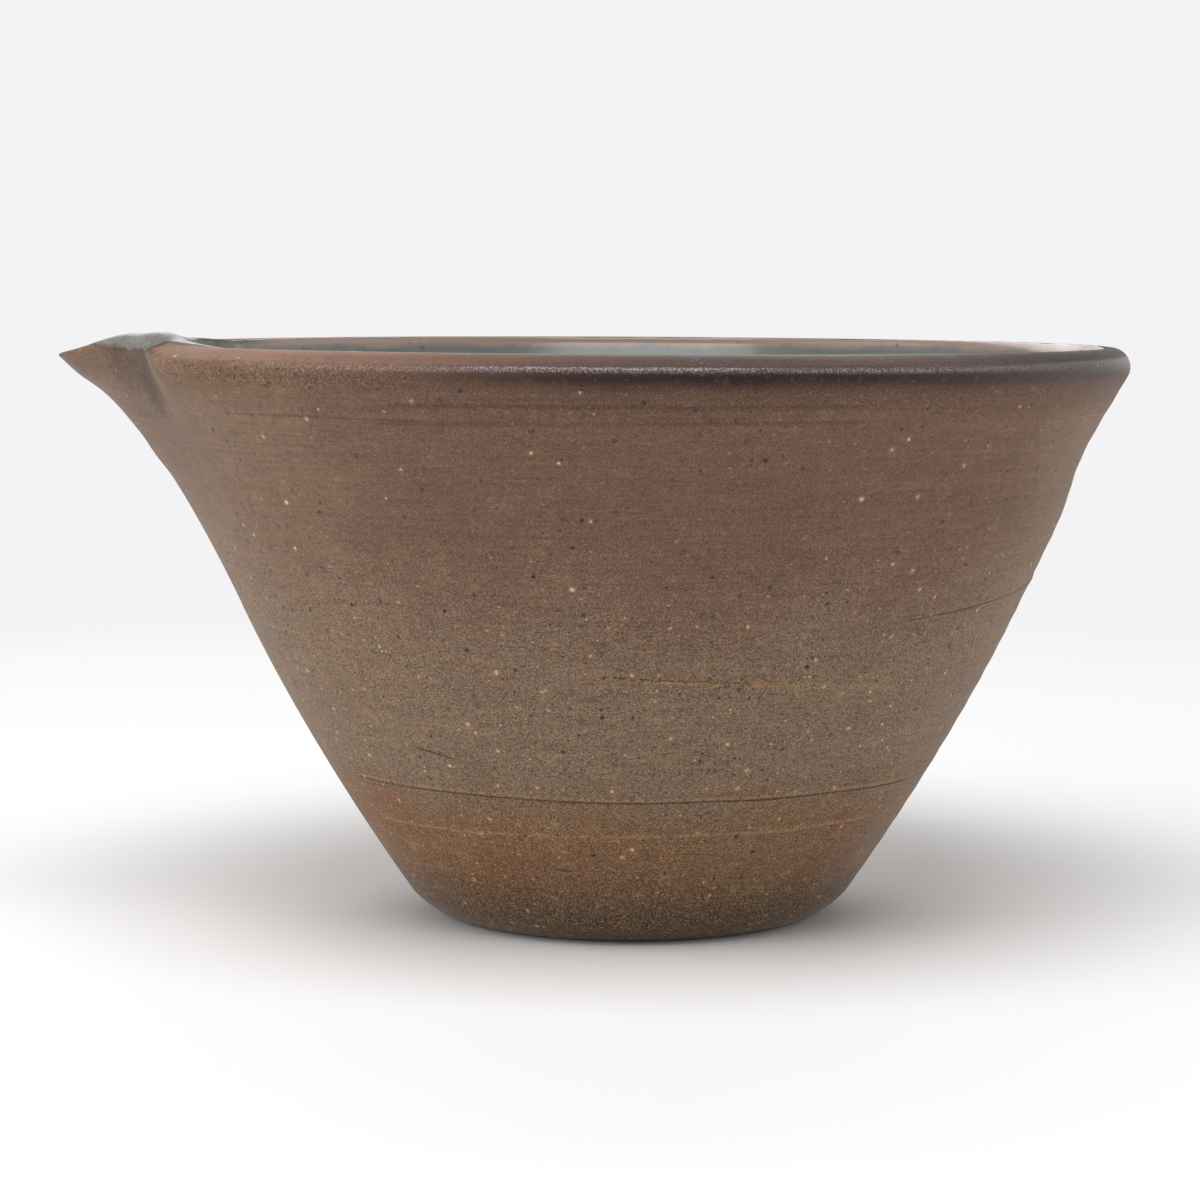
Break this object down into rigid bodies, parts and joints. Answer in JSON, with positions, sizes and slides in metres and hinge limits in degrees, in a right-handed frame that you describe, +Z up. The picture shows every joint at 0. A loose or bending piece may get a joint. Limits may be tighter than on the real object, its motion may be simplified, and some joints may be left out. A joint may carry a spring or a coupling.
{
  "type": "stoneware pouring bowl",
  "caption": "Deep conical stoneware bowl with a rolled rim and a luted-on pouring lip, bare clay outside and glazed inside, for holding, mixing and pouring liquids.",
  "frame": {"origin": "centre of the flat base, on the surface that the bowl stands on", "axes": "+Z up along the bowl's turning axis, -X towards the tip of the pouring lip, +X away from it, Y to the sides"},
  "size_m": [0.1947, 0.18, 0.1055],
  "materials": {
    "stoneware": "matte",
    "flashed_stoneware": "matte",
    "dried_slip": "matte",
    "ash_glaze": "gloss"
  },
  "bodies": {
    "root": {"bowl_body": "stoneware", "pouring_spout": "flashed_stoneware", "luting_slip": "dried_slip", "glaze_lining": "ash_glaze"}
  },
  "joints": []
}
